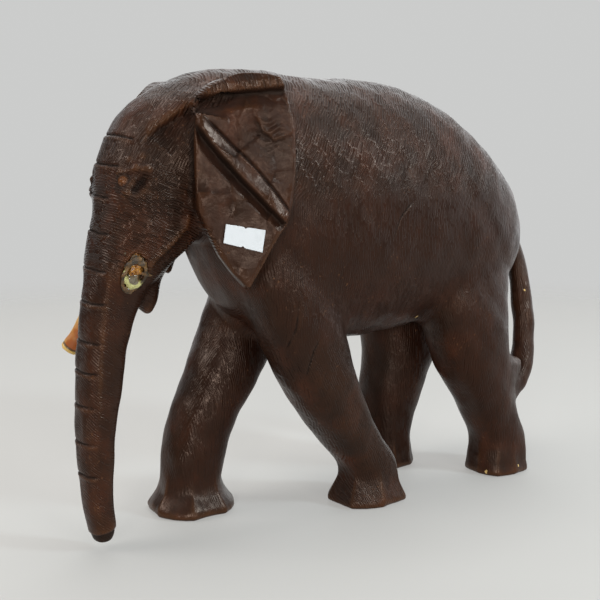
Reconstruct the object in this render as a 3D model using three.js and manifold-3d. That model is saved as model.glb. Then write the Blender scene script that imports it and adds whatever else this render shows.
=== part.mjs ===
// A walking elephant carved from one block of wood, with a drilled socket for each tusk.
// The right tusk is a glued peg with its tip cut off, the left one is broken off in its socket,
// and a blank price label sticks to the left ear.
// Millimetres, +Z up. The elephant faces -Y, its left side is +X, and it stands on Z = 0.

import * as THREE from "three";
import { mergeVertices } from "three/addons/utils/BufferGeometryUtils.js";
import Module from "manifold-3d";

const wasm = await Module();
wasm.setup();

// ---- Driving dimensions ----

const backHeight = 250; // floor to the top of the back
const bellyHeight = 97; // floor to the belly
const torsoLength = 240; // chest to rump
const torsoWidth = 106; // across the flanks
const faceReach = 56; // chest to the front of the trunk root
const headWidth = 58; // across the cheeks
const trunkWidth = 22; // across the trunk, halfway down
const trunkTipHeight = 4; // floor to the tip of the trunk
const footSpread = 50; // across, between the middles of a pair of feet
const ankleRadius = 16.5;
const foreFootRadius = 23;
const hindFootRadius = 18.5;
const tailRadius = 6; // where it leaves the rump
const tailSwell = 0.45; // how much thicker its lower end is, as a share of that
const eyeLength = 12;
const earWidth = 54;
const earHeight = 108;
const earRimHeight = 9; // the rolled rim along the top of the ear
const earRimStep = 5; // how far the rim stands out over the face of the ear
const earThickness = 9;
const earFoldStep = 2.5; // how far the fold across the ear stands out
const tuskDiameter = 9.5;
const tuskLength = 50; // what shows of the right tusk
const socketDepth = 12; // how far each tusk hole goes in
const glueSpread = 1.5; // width of the dried glue round each socket
const glueThickness = 1.2;
const labelWidth = 21.5;
const labelHeight = 12;
const labelThickness = 0.4;
const labelNotch = 0.8; // half-round nick in the middle of each long edge
const clearance = 0.3; // kept between pieces that touch

// Where the main masses sit, worked out from the sizes above.
const chestY = -torsoLength / 2 + 8;
const rumpY = chestY + torsoLength;
const faceY = chestY - faceReach;
const bodyDepth = backHeight - bellyHeight;
const halfTorso = torsoWidth / 2;
const halfHead = headWidth / 2;
const halfTrunk = trunkWidth / 2;

// ---- Solids from three.js geometry ----

// A closed three.js geometry as a solid that can be joined and cut.
function solidOf(geometry) {
  const bare = geometry.clone();
  bare.deleteAttribute("normal");
  bare.deleteAttribute("uv");
  const merged = mergeVertices(bare, 1e-4);
  return new wasm.Manifold(
    new wasm.Mesh({
      numProp: 3,
      vertProperties: merged.attributes.position.array,
      triVerts: new Uint32Array(merged.index.array),
    }),
  );
}

// The solid back as a three.js geometry with flat faces.
function geometryOf(solid) {
  const mesh = solid.getMesh();
  const geometry = new THREE.BufferGeometry();
  const positions = new THREE.BufferAttribute(new Float32Array(mesh.vertProperties), 3);
  geometry.setAttribute("position", positions);
  geometry.setIndex([...mesh.triVerts]);
  const flat = geometry.toNonIndexed();
  flat.computeVertexNormals();
  return flat;
}

// One number from the same column of every station, on a smooth curve through them.
function alongColumn(stations, column, t) {
  const last = stations.length - 1;
  const span = Math.min(Math.floor(t * last), last - 1);
  const local = t * last - span;
  const value = (index) => stations[Math.max(0, Math.min(last, index))][column];
  const [before, from, to, after] = [-1, 0, 1, 2].map((step) => value(span + step));
  const leave = (to - before) / 2;
  const arrive = (after - from) / 2;
  const a = 2 * (from - to) + leave + arrive;
  const b = 3 * (to - from) - 2 * leave - arrive;
  return ((a * local + b) * local + leave) * local + from;
}

// A closed loft through level or upright sections, flat at both ends.
// Each station is [place along the axis, centre x, low side, high side, half width, squareness].
// With axis "z" the sections are level and run from the top down, and low and high are in y.
// With axis "y" the sections are upright and run from the front back, and low and high are in z.
function loft(axis, stations, around, along) {
  const geometry = new THREE.SphereGeometry(1, around, along);
  const position = geometry.attributes.position;
  for (let i = 0; i < position.count; i += 1) {
    const row = Math.floor(i / (around + 1));
    const isPole = row === 0 || row === along;
    const t = THREE.MathUtils.clamp((row - 1) / (along - 2), 0, 1);
    const [place, x, low, high, halfWidth, squareness] = [0, 1, 2, 3, 4, 5].map((column) =>
      alongColumn(stations, column, t),
    );
    const angle = (2 * Math.PI * (i % (around + 1))) / around;
    const blunt = (value) => Math.sign(value) * Math.abs(value) ** (2 / squareness);
    const across = isPole ? 0 : -halfWidth * blunt(Math.cos(angle));
    const up = isPole ? 0 : (-(high - low) / 2) * blunt(Math.sin(angle));
    const middle = (low + high) / 2 + up;
    if (axis === "z") position.setXYZ(i, x + across, middle, place);
    else position.setXYZ(i, x + across, place, middle);
  }
  return solidOf(geometry);
}

// ---- The carved block ----

// A height between the belly at 0 and the back at 1.
const level = (share) => bellyHeight + bodyDepth * share;
// A place along the torso, from the chest at 0 to the rump at 1.
const behindChest = (share) => chestY + torsoLength * share;

function torso() {
  const row = (share, low, high, width, squareness = 2.3) => [
    behindChest(share),
    0,
    level(low),
    level(high),
    halfTorso * width,
    squareness,
  ];
  return loft(
    "y",
    [
      row(0.0, 0.46, 0.8, 0.3),
      row(0.03, 0.36, 0.93, 0.58),
      row(0.1, 0.16, 0.98, 0.8),
      row(0.22, 0.03, 1.0, 0.93),
      row(0.36, 0.0, 1.0, 1.0),
      row(0.5, 0.0, 1.0, 1.02),
      row(0.62, 0.02, 0.965, 1.02),
      row(0.73, 0.05, 0.893, 1.0),
      row(0.82, 0.08, 0.793, 0.95),
      row(0.9, 0.11, 0.69, 0.84),
      row(0.95, 0.16, 0.6, 0.68),
      row(0.985, 0.23, 0.53, 0.45),
      row(1.0, 0.34, 0.43, 0.12),
    ],
    36,
    20,
  );
}

// Head and trunk in one run, from the crown down to the tip of the trunk.
function headAndTrunk() {
  const trunkRoot = level(0.22);
  const onHead = (share, front, back, width, squareness) => [
    level(share),
    0,
    faceY + front,
    faceY + back,
    halfHead * width,
    squareness,
  ];
  const onTrunk = (share, front, back, width, squareness = 2.8) => [
    THREE.MathUtils.lerp(trunkTipHeight, trunkRoot, share),
    0,
    faceY + front,
    faceY + back,
    halfTrunk * width,
    squareness,
  ];
  return loft(
    "z",
    [
      onHead(1.015, 76, 112, 0.3, 2.2),
      onHead(0.995, 58, 118, 0.66, 2.2),
      onHead(0.94, 38, 118, 0.92, 2.2),
      onHead(0.86, 20.5, 112, 1.02, 2.3),
      onHead(0.77, 11, 104, 1.02, 2.4),
      onHead(0.67, 6, 96, 0.98, 2.6),
      onHead(0.57, 4, 84, 0.92, 2.6),
      onHead(0.47, 2, 66, 0.86, 2.6),
      onHead(0.385, -0.5, 47, 0.8, 2.6),
      onHead(0.33, -2.5, 38, 0.7, 2.6),
      onHead(0.28, -4, 31, 0.54, 2.6),
      onTrunk(1, -6, 24, 1.24, 2.7),
      onTrunk(0.86, -8, 17, 1.16),
      onTrunk(0.68, -10, 13, 1.08),
      onTrunk(0.5, -11, 8.5, 0.98),
      onTrunk(0.32, -10, 6.5, 0.88),
      onTrunk(0.16, -9, 6.5, 0.8),
      onTrunk(0.05, -6.5, 7, 0.74, 2.6),
      onTrunk(0, -4, 5.5, 0.52, 2.4),
    ],
    26,
    42,
  );
}

function lowerJaw() {
  const row = (share, front, back, width) => [
    level(share),
    0,
    faceY + front,
    faceY + back,
    halfHead * width,
    2.2,
  ];
  return loft(
    "z",
    [
      row(0.5, 12, 56, 0.62),
      row(0.36, 14, 43, 0.48),
      row(0.27, 16, 37, 0.32),
      row(0.2, 24, 36, 0.18),
      row(0.165, 30, 34, 0.06),
    ],
    20,
    8,
  );
}

// An almond of an eye stands out of each side of the face.
function eye(side) {
  const almond = new THREE.SphereGeometry(1, 16, 10);
  almond.scale(4.5, eyeLength / 2, 4.2);
  almond.rotateX(THREE.MathUtils.degToRad(25));
  almond.translate(side * (halfHead - 9), faceY + 11.5, level(0.6));
  return solidOf(almond);
}

// One leg: a list of [height, y of the middle, half depth, half width], from inside the body
// down to the ankle. The foot below the ankle flares out and stands flat on the floor.
function leg({ side, footX, footY, footRadius, shafts }) {
  const oval = 1.1; // ankles and feet are a little deeper than wide
  const top = shafts[0][0];
  const rootX = halfTorso * 0.5;
  const leanX = (z) => THREE.MathUtils.lerp(footX, rootX, z / top);
  const row = (z, y, halfDepth, halfWidth, squareness) => [
    z,
    side * leanX(z),
    y - halfDepth,
    y + halfDepth,
    halfWidth,
    squareness,
  ];
  const round = (z, radius, squareness) => row(z, footY, radius * oval, radius, squareness);
  return loft(
    "z",
    [
      ...shafts.map((shaft) => row(...shaft, 2.3)),
      round(24, ankleRadius, 2.3),
      round(13, ankleRadius * 1.05, 2.4),
      round(6, footRadius * 0.93, 2.6),
      round(2, footRadius, 2.7),
      round(0, footRadius * 0.98, 2.7),
    ],
    22,
    16,
  );
}

// The elephant walks: the right foreleg and the left hind leg are out at the ends of their stride.
function legs() {
  const foreX = footSpread / 2;
  const hipY = behindChest(0.76);
  const shoulderY = behindChest(0.17);
  const leftFore = {
    side: 1,
    footX: foreX,
    footY: shoulderY + 67,
    footRadius: foreFootRadius * 0.93,
    shafts: [
      [level(0.55), shoulderY - 2, 18, 12],
      [level(0.28), shoulderY + 6, 26, 20],
      [level(0.0), shoulderY + 20, 25, 22],
      [level(-0.3), shoulderY + 44, 20, 19],
    ],
  };
  const rightFore = {
    side: -1,
    footX: foreX,
    footY: shoulderY - 26,
    footRadius: foreFootRadius * 1.02,
    shafts: [
      [level(0.55), shoulderY + 20, 18, 12],
      [level(0.24), shoulderY + 20, 26, 20],
      [level(-0.02), shoulderY + 5, 25, 22],
      [level(-0.3), shoulderY - 19, 20, 19.5],
    ],
  };
  const leftHind = {
    side: 1,
    footX: foreX + 9,
    footY: hipY + 32,
    footRadius: hindFootRadius,
    shafts: [
      [level(0.55), hipY - 2, 24, 12],
      [level(0.24), hipY + 0, 35, 20],
      [level(-0.08), hipY + 5, 27, 23],
      [level(-0.32), hipY + 20, 20, 18],
    ],
  };
  const rightHind = {
    side: -1,
    footX: foreX - 4,
    footY: hipY - 19,
    footRadius: hindFootRadius,
    shafts: [
      [level(0.55), hipY - 2, 24, 12],
      [level(0.24), hipY - 2, 35, 20],
      [level(-0.08), hipY - 3, 26, 24],
      [level(-0.32), hipY - 13, 21, 19],
    ],
  };
  return [leftFore, rightFore, leftHind, rightHind].map(leg);
}

// The ear hangs from the side of the head and its back edge stands away from the neck.
// Its own frame: x backwards, y up, z outwards, with the origin at the front of its top edge
// and the face of the ear at z = 0.
function leftEarFrame() {
  const flare = THREE.MathUtils.degToRad(18); // how far the back edge swings out
  const tilt = THREE.MathUtils.degToRad(-3); // how far the lower end leans in
  const back = new THREE.Vector3(Math.sin(flare), Math.cos(flare), 0);
  const lean = new THREE.Vector3(Math.sin(tilt), 0, Math.cos(tilt));
  const out = new THREE.Vector3().crossVectors(back, lean).normalize();
  const up = new THREE.Vector3().crossVectors(out, back);
  const frame = new THREE.Matrix4().makeBasis(back, up, out);
  return frame.setPosition(halfHead + 4, faceY + 40, level(0.97));
}

// A point of the ear: a share of its width backwards and of its height downwards.
const earPoint = (across, down) => new THREE.Vector2(earWidth * across, -earHeight * down);

function earOutline() {
  const outline = new THREE.Shape([earPoint(0, 0.2)]);
  const bend = (control, end) => outline.quadraticCurveTo(...control.toArray(), ...end.toArray());
  bend(earPoint(0.1, 0.04), earPoint(0.4, -0.01));
  bend(earPoint(0.6, -0.03), earPoint(0.84, 0));
  bend(earPoint(0.96, 0.08), earPoint(1, 0.26));
  bend(earPoint(1.02, 0.5), earPoint(0.93, 0.66));
  outline.lineTo(...earPoint(0.5, 1).toArray());
  bend(earPoint(0.18, 0.84), earPoint(0.02, 0.6));
  outline.closePath();
  return outline;
}

// The rolled rim: a band along the top edge.
function earRimOutline() {
  const band = earRimHeight / earHeight;
  const front = 0.16; // how far down the rim starts
  const outline = new THREE.Shape([earPoint(0, front)]);
  const bend = (control, end) => outline.quadraticCurveTo(...control.toArray(), ...end.toArray());
  bend(earPoint(0.1, 0.04), earPoint(0.4, -0.01));
  bend(earPoint(0.6, -0.03), earPoint(0.84, 0));
  outline.lineTo(...earPoint(0.87, band).toArray());
  bend(earPoint(0.5, band * 0.6), earPoint(0.16, band + 0.02));
  outline.lineTo(...earPoint(0, front + band * 0.3).toArray());
  outline.closePath();
  return outline;
}

// The fold runs slantwise across the ear, from the front of the rim to the back corner.
function earFoldOutline() {
  return new THREE.Shape([
    earPoint(0.0, 0.17),
    earPoint(0.1, 0.18),
    earPoint(0.9, 0.6),
    earPoint(0.86, 0.69),
    earPoint(0.45, 0.5),
    earPoint(0.0, 0.24),
  ]);
}

// The wood behind the ear that joins it to the head and neck.
function earRootOutline() {
  return new THREE.Shape([
    earPoint(0, 0.3),
    earPoint(0.25, 0.1),
    earPoint(0.6, 0.1),
    earPoint(0.75, 0.3),
    earPoint(0.7, 0.62),
    earPoint(0.42, 0.82),
    earPoint(0.1, 0.66),
  ]);
}

function ear(side) {
  const backing = 20; // from the face of the ear to the back of its root
  const slab = (outline, from, to) => {
    const plate = new THREE.ExtrudeGeometry(outline, {
      depth: to - from,
      bevelEnabled: false,
      curveSegments: 4,
    });
    plate.translate(0, 0, from);
    plate.applyMatrix4(leftEarFrame());
    return solidOf(plate);
  };
  const whole = slab(earOutline(), -earThickness, 0)
    .add(slab(earRimOutline(), -earThickness, earRimStep))
    .add(slab(earFoldOutline(), -2, earFoldStep))
    .add(slab(earRootOutline(), -backing, -1));
  return side > 0 ? whole : whole.mirror([1, 0, 0]);
}

// The tail leaves the top of the rump, hangs in a bow and runs into the left hind leg.
function tail() {
  const at = (x, behindRump, share) => new THREE.Vector3(x, rumpY + behindRump, level(share));
  const bow = new THREE.CatmullRomCurve3([
    at(0, -10, 0.47),
    at(7, 10, 0.34),
    at(14, 13, 0.19),
    at(19, 12, 0.06),
    at(23, 10, -0.05),
    at(26, 6, -0.155),
    at(29, -2, -0.245),
    at(32, -20, -0.33),
  ]);
  const around = 14;
  const along = 20;
  const geometry = new THREE.SphereGeometry(1, around, along);
  const position = geometry.attributes.position;
  const sideways = new THREE.Vector3(1, 0, 0);
  for (let i = 0; i < position.count; i += 1) {
    const row = Math.floor(i / (around + 1));
    const isPole = row === 0 || row === along;
    const t = THREE.MathUtils.clamp((row - 1) / (along - 2), 0, 1);
    const centre = bow.getPoint(t);
    const tangent = bow.getTangent(t);
    const normal = new THREE.Vector3().crossVectors(sideways, tangent).normalize();
    const across = new THREE.Vector3().crossVectors(tangent, normal);
    const radius = isPole ? 0 : tailRadius * (1 + tailSwell * t);
    const angle = (2 * Math.PI * (i % (around + 1))) / around;
    centre.addScaledVector(across, radius * Math.cos(angle));
    centre.addScaledVector(normal, radius * Math.sin(angle));
    position.setXYZ(i, centre.x, centre.y, centre.z);
  }
  return solidOf(geometry);
}

// ---- Tusks ----

// The line of the left tusk: out of the side of the trunk root, down, forwards and outwards.
const socketMouth = new THREE.Vector3(halfHead * 0.67, faceY + 13, level(0.33));
const tuskDirection = new THREE.Vector3(16, -11.5, -45).normalize();
const tuskRadius = tuskDiameter / 2;
const holeRadius = tuskRadius + clearance;

function alongTusk(side, distance) {
  const point = socketMouth.clone().addScaledVector(tuskDirection, distance);
  point.x *= side;
  return point;
}

// A straight round peg on the line of a tusk, between two distances from the socket's mouth.
function peg(side, from, to, fromRadius, toRadius = fromRadius) {
  const start = alongTusk(side, from);
  const line = alongTusk(side, to).sub(start);
  const geometry = new THREE.CylinderGeometry(toRadius, fromRadius, line.length(), 20);
  geometry.translate(0, line.length() / 2, 0);
  const upright = new THREE.Vector3(0, 1, 0);
  geometry.applyQuaternion(new THREE.Quaternion().setFromUnitVectors(upright, line.normalize()));
  geometry.translate(start.x, start.y, start.z);
  return solidOf(geometry);
}

const pastMouth = 14; // far enough out to clear the wood

// Dried glue lies on the wood round a socket: the skin of the wood, moved outwards, cut to a ring.
function socketGlue(side, wood) {
  const outwards = new THREE.Vector3(side * 0.8, -0.1, -0.6).normalize();
  const moved = (distance) => {
    const shift = outwards.clone().multiplyScalar(distance);
    return wood.translate(shift.toArray());
  };
  const ring = peg(side, -socketDepth, pastMouth, holeRadius + glueSpread).subtract(
    peg(side, -socketDepth - 1, pastMouth + 1, holeRadius),
  );
  const layer = moved(clearance * 1.5 + glueThickness).intersect(ring);
  return layer.subtract(moved(clearance * 1.5)).subtract(wood);
}

// ---- Price label ----

// A blank paper rectangle with a nick in each long edge, flat on the face of the left ear.
function priceLabel() {
  const halfWide = labelWidth / 2;
  const halfHigh = labelHeight / 2;
  const outline = new THREE.Shape();
  outline.moveTo(-halfWide, -halfHigh);
  outline.absarc(0, -halfHigh, labelNotch, Math.PI, 0, true);
  outline.lineTo(halfWide, -halfHigh);
  outline.lineTo(halfWide, halfHigh);
  outline.absarc(0, halfHigh, labelNotch, 0, Math.PI, true);
  outline.lineTo(-halfWide, halfHigh);
  outline.closePath();
  const paper = new THREE.ExtrudeGeometry(outline, {
    depth: labelThickness,
    bevelEnabled: false,
    curveSegments: 6,
  });
  const middle = earPoint(0.46, 0.75);
  paper.rotateZ(THREE.MathUtils.degToRad(-11));
  paper.translate(middle.x, middle.y, clearance);
  paper.applyMatrix4(leftEarFrame());
  return solidOf(paper);
}

// ---- Assembly ----

const finish = {
  darkWood: { color: 0x3a2119, roughness: 0.5, metalness: 0 },
  paleWood: { color: 0xb8793c, roughness: 0.55, metalness: 0 },
  glue: { color: 0xa5a06a, roughness: 0.35, metalness: 0 },
  paper: { color: 0xf2f2ee, roughness: 0.8, metalness: 0 },
};

const elephant = new THREE.Group();

function addPiece(name, solid, look) {
  const mesh = new THREE.Mesh(geometryOf(solid), new THREE.MeshStandardMaterial(look));
  mesh.name = name;
  elephant.add(mesh);
}

const forms = [headAndTrunk(), lowerJaw(), eye(1), eye(-1), ...legs(), ear(1), ear(-1), tail()];
const solidWood = forms.reduce((block, form) => block.add(form), torso());
const drilled = (block, side) => block.subtract(peg(side, -socketDepth, pastMouth, holeRadius));

addPiece("carved_body", drilled(drilled(solidWood, 1), -1), finish.darkWood);
addPiece(
  "right_tusk",
  peg(-1, clearance - socketDepth, tuskLength, tuskRadius, tuskRadius * 0.96),
  finish.paleWood,
);
addPiece("right_socket_glue", socketGlue(-1, solidWood), finish.glue);
addPiece(
  "left_tusk_stub",
  peg(1, clearance - socketDepth, 0, tuskRadius, tuskRadius * 0.8),
  finish.paleWood,
);
addPiece("left_socket_glue", socketGlue(1, solidWood), finish.glue);
addPiece("price_label", priceLabel(), finish.paper);

// The origin is on the floor, under the middle of the whole figure.
const extent = new THREE.Box3().setFromObject(elephant);
const middle = extent.getCenter(new THREE.Vector3());
elephant.position.set(-middle.x, -middle.y, -extent.min.z);

export default elephant;
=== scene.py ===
import math
import bmesh
import bpy
import numpy as np
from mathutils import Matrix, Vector


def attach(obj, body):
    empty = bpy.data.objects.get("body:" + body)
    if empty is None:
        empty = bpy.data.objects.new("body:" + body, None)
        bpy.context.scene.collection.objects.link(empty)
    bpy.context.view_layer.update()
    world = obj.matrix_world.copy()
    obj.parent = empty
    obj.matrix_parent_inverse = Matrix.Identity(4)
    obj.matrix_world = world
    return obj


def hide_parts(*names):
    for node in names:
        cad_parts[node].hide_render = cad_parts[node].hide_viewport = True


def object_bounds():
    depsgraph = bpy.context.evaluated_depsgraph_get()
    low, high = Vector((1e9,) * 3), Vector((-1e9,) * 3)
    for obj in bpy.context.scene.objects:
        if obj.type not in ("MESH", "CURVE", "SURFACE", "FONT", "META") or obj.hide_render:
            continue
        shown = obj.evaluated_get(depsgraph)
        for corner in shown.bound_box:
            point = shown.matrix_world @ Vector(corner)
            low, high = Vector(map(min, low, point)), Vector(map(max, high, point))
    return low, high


# Carved wooden elephant, looks only. It faces -Y, its left side is +X, and it stands on Z = 0.
# Sizes in the dictionaries are in millimetres, apart from the stage's; meshes are in metres.

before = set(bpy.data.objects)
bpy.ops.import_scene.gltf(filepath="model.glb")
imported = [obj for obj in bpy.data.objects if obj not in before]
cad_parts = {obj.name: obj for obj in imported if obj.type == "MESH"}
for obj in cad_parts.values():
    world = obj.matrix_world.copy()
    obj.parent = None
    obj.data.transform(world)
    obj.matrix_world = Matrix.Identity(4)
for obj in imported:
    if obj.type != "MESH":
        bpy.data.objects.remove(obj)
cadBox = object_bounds()
mm = 0.001
scene = bpy.context.scene
print("frame loaded:", ", ".join(sorted(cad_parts)))


# wiring for materials: one output of a node, which takes part in sums
class Wire:
    def __init__(self, tree, socket=None):
        self.tree = tree
        self.socket = socket

    # any node: its settings first, then what goes into its sockets
    def node(self, kind, settings=None, inputs=None, out=0):
        made = self.tree.nodes.new(kind)
        for name, value in (settings or {}).items():
            setattr(made, name, value)
        for key, value in (inputs or {}).items():
            if isinstance(value, Wire):
                self.tree.links.new(value.socket, made.inputs[key])
            else:
                made.inputs[key].default_value = value
        return Wire(self.tree, None if out is None else made.outputs[out])

    def isVector(self):
        return self.socket.type == "VECTOR"

    def math(self, operation, first, second=None):
        pair = [first] if second is None else [first, second]
        if any(isinstance(p, Wire) and p.isVector() for p in pair):
            pair = [p if isinstance(p, (Wire, tuple)) else (p, p, p) for p in pair]
            kind = "ShaderNodeVectorMath"
        else:
            kind = "ShaderNodeMath"
        return self.node(kind, {"operation": operation}, dict(enumerate(pair)))

    def __add__(self, other):
        return self.math("ADD", self, other)

    __radd__ = __add__

    def __sub__(self, other):
        return self.math("SUBTRACT", self, other)

    def __rsub__(self, other):
        return self.math("SUBTRACT", other, self)

    def __mul__(self, other):
        return self.math("MULTIPLY", self, other)

    __rmul__ = __mul__

    def __abs__(self):
        return self.math("ABSOLUTE", self)

    def floor(self):
        return self.math("FLOOR", self)

    def most(self, other):
        return self.math("MAXIMUM", self, other)

    def dot(self, direction):
        inputs = {0: self, 1: direction}
        return self.node("ShaderNodeVectorMath", {"operation": "DOT_PRODUCT"}, inputs, "Value")

    def length(self):
        return self.node("ShaderNodeVectorMath", {"operation": "LENGTH"}, {0: self}, "Value")

    # 0 below low, 1 above high, a soft step between
    def step(self, low, high):
        inputs = {"Value": self, "From Min": low, "From Max": high}
        return self.node("ShaderNodeMapRange", {"interpolation_type": "SMOOTHSTEP"}, inputs)

    # from one colour to another by this wire's value
    def blend(self, low, high):
        pair = [c if isinstance(c, Wire) else (*c, 1) for c in (low, high)]
        settings = {"data_type": "RGBA", "clamp_factor": True}
        return self.node("ShaderNodeMix", settings, {0: self, 6: pair[0], 7: pair[1]}, 2)

    # soft random values; size is how wide the blobs are, in millimetres
    def noise(self, size, detail=2.0, roughness=0.5):
        inputs = {"Vector": self * (1 / size), "Scale": 1.0, "Detail": detail, "Roughness": roughness}
        return self.node("ShaderNodeTexNoise", {}, inputs)

    # one flat random value for each whole number
    def chance(self, other=0.0):
        both = self.node("ShaderNodeCombineXYZ", {}, {0: self, 1: other})
        return self.node("ShaderNodeTexWhiteNoise", {"noise_dimensions": "3D"}, {"Vector": both})

    def mark(self, name):
        return self.node("ShaderNodeAttribute", {"attribute_name": name}, {}, "Fac")


# a material with one Principled shader; fixed values stay on its sockets, and build makes the
# changing ones from the place in millimetres
def makeMaterial(name, fixed, build):
    material = bpy.data.materials.new(name)
    material.use_nodes = True
    tree = material.node_tree
    shader = tree.nodes["Principled BSDF"]
    for socket, value in fixed.items():
        shader.inputs[socket].default_value = value
    start = Wire(tree)
    place = start.node("ShaderNodeTexCoord", {}, {}, "Object") * (1 / mm)
    for socket, wire in build(place).items():
        if socket == "Height":  # millimetres
            bump = {"Height": wire, "Distance": mm, "Strength": 1.0}
            wire = start.node("ShaderNodeBump", {}, bump)
            socket = "Normal"
        tree.links.new(wire.socket, shader.inputs[socket])
    return material


# Meshes are read and written in millimetres.

def readPoints(mesh):
    flat = np.empty(len(mesh.vertices) * 3, np.float32)
    mesh.vertices.foreach_get("co", flat)
    return flat.reshape(-1, 3).astype(float) / mm


def writePoints(mesh, points):
    mesh.vertices.foreach_set("co", (points * mm).astype(np.float32).ravel())
    mesh.update()


def readNormals(mesh):
    flat = np.empty(len(mesh.vertices) * 3, np.float32)
    mesh.vertices.foreach_get("normal", flat)
    return flat.reshape(-1, 3).astype(float)


def writeMark(mesh, name, values):
    mark = mesh.attributes.get(name) or mesh.attributes.new(name, "FLOAT", "POINT")
    mark.data.foreach_set("value", np.clip(values, 0, 1).astype(np.float32))


def smoothStep(values, low, high):
    share = np.clip((values - low) / (high - low), 0, 1)
    return share * share * (3 - 2 * share)


def bumpAt(values, width):
    return np.exp(-((values / width) ** 2))


# how far each point is from a line through path, and how far along that line it is, 0 to 1
def alongPath(points, path):
    path = np.array(path, float)
    lengths = np.linalg.norm(np.diff(path, axis=0), axis=1)
    starts = np.concatenate([[0], np.cumsum(lengths)[:-1]])
    nearest = np.full(len(points), 1e9)
    share = np.zeros(len(points))
    for start, end, length, before in zip(path[:-1], path[1:], lengths, starts):
        t = np.clip((points - start) @ (end - start) / length**2, 0, 1)
        away = np.linalg.norm(points - start - t[:, None] * (end - start), axis=1)
        closer = away < nearest
        nearest[closer] = away[closer]
        share[closer] = (before + t[closer] * length) / lengths.sum()
    return nearest, share


# how deep inside a flat outline each point is; negative outside
def insideOutline(across, down, outline):
    outline = np.array(outline, float)
    flat = np.stack([across, down], 1)
    edge, _ = alongPath(flat, np.vstack([outline, outline[:1]]))
    inside = np.zeros(len(flat), bool)
    for (x0, y0), (x1, y1) in zip(outline, np.roll(outline, -1, axis=0)):
        crosses = (y0 > down) != (y1 > down)
        rise = y1 - y0 if y1 != y0 else 1e-9
        inside ^= crosses & (across < (x1 - x0) * (down - y0) / rise + x0)
    return np.where(inside, edge, -edge)


# neighbours of every vertex, for averaging
class Net:
    def __init__(self, mesh, cell):
        ends = np.empty(len(mesh.edges) * 2, np.int32)
        mesh.edges.foreach_get("vertices", ends)
        self.one, self.other = ends.reshape(-1, 2).T
        self.size = len(mesh.vertices)
        self.cell = cell
        self.count = np.bincount(np.concatenate([self.one, self.other]), minlength=self.size)

    def average(self, values):
        total = np.empty_like(values)
        for axis in range(values.shape[1]):
            column = values[:, axis]
            total[:, axis] = np.bincount(self.one, column[self.other], self.size)
            total[:, axis] += np.bincount(self.other, column[self.one], self.size)
        return total / self.count[:, None]

    # soft blur, reach in millimetres
    def blur(self, values, reach):
        kept, onePass = 0.1, 0.45
        for _ in range(max(1, round((reach / self.cell) ** 2 / onePass))):
            values = kept * values + (1 - kept) * self.average(values)
        return values


def voxelMesh(source, cell, name):
    holder = bpy.data.objects.new(name, source.copy())
    scene.collection.objects.link(holder)
    skin = holder.modifiers.new("skin", "REMESH")
    skin.mode = "VOXEL"
    skin.voxel_size = cell * mm
    skin.use_smooth_shade = True
    shown = holder.evaluated_get(bpy.context.evaluated_depsgraph_get())
    mesh = bpy.data.meshes.new_from_object(shown)
    bpy.data.objects.remove(holder)
    return mesh


def addPiece(name, mesh, material, nodes):
    piece = bpy.data.objects.new(name, mesh)
    scene.collection.objects.link(piece)
    mesh.materials.clear()
    mesh.materials.append(material)
    mesh.polygons.foreach_set("use_smooth", [True] * len(mesh.polygons))
    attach(piece, "root")
    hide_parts(*nodes)
    return piece


# a round roll through points of (x, y, z, radius), closed at both ends
def rollMesh(stations):
    around = 14
    path = [Vector((x, y, z)) for x, y, z, _ in stations]
    verts, faces = [], []
    for index, (middle, station) in enumerate(zip(path, stations)):
        ahead = path[min(index + 1, len(path) - 1)] - path[max(index - 1, 0)]
        turned = ahead.to_track_quat("Z", "Y")
        for step in range(around):
            angle = 2 * math.pi * step / around
            rim = Vector((math.cos(angle), math.sin(angle), 0)) * station[3]
            verts.append((middle + turned @ rim) * mm)
    for index in range(len(path) - 1):
        for step in range(around):
            after = (step + 1) % around
            base = index * around
            faces.append((base + step, base + after, base + around + after, base + around + step))
    faces.append(tuple(reversed(range(around))))
    faces.append(tuple(range(len(verts) - around, len(verts))))
    return verts, faces


# one node's shape with closed rolls joined on
def joinedMesh(node, rolls):
    joined = bmesh.new()
    joined.from_mesh(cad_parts[node].data)
    for stations in rolls:
        verts, faces = rollMesh(stations)
        added = [joined.verts.new(v) for v in verts]
        for face in faces:
            joined.faces.new([added[i] for i in face])
    mesh = bpy.data.meshes.new(node + "Joined")
    joined.to_mesh(mesh)
    joined.free()
    return mesh


# one node's shape again under a fine skin; change moves its points
def refined(node, cell, blur, rolls=(), change=None):
    mesh = voxelMesh(joinedMesh(node, rolls), cell, node + "Skin")
    writePoints(mesh, Net(mesh, cell).blur(readPoints(mesh), blur))
    if change:
        writePoints(mesh, change(readPoints(mesh), readNormals(mesh)))
    return mesh


# waves in many directions, for surfaces that are lumpy by hand
def lumps(points, seed, short, long, count=10):
    draw = np.random.default_rng(seed)
    total = np.zeros(len(points))
    for _ in range(count):
        wave = draw.normal(0, 1, 3)
        wave *= 2 * math.pi / (np.linalg.norm(wave) * draw.uniform(short, long))
        total += np.sin(points @ wave + draw.uniform(0, 6.3))
    return total / math.sqrt(count)


# Carved block: torso, head, ears, trunk, legs and tail are one piece of wood.
# Places are x, y, z. What is given for the left side is repeated on the right.

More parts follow.
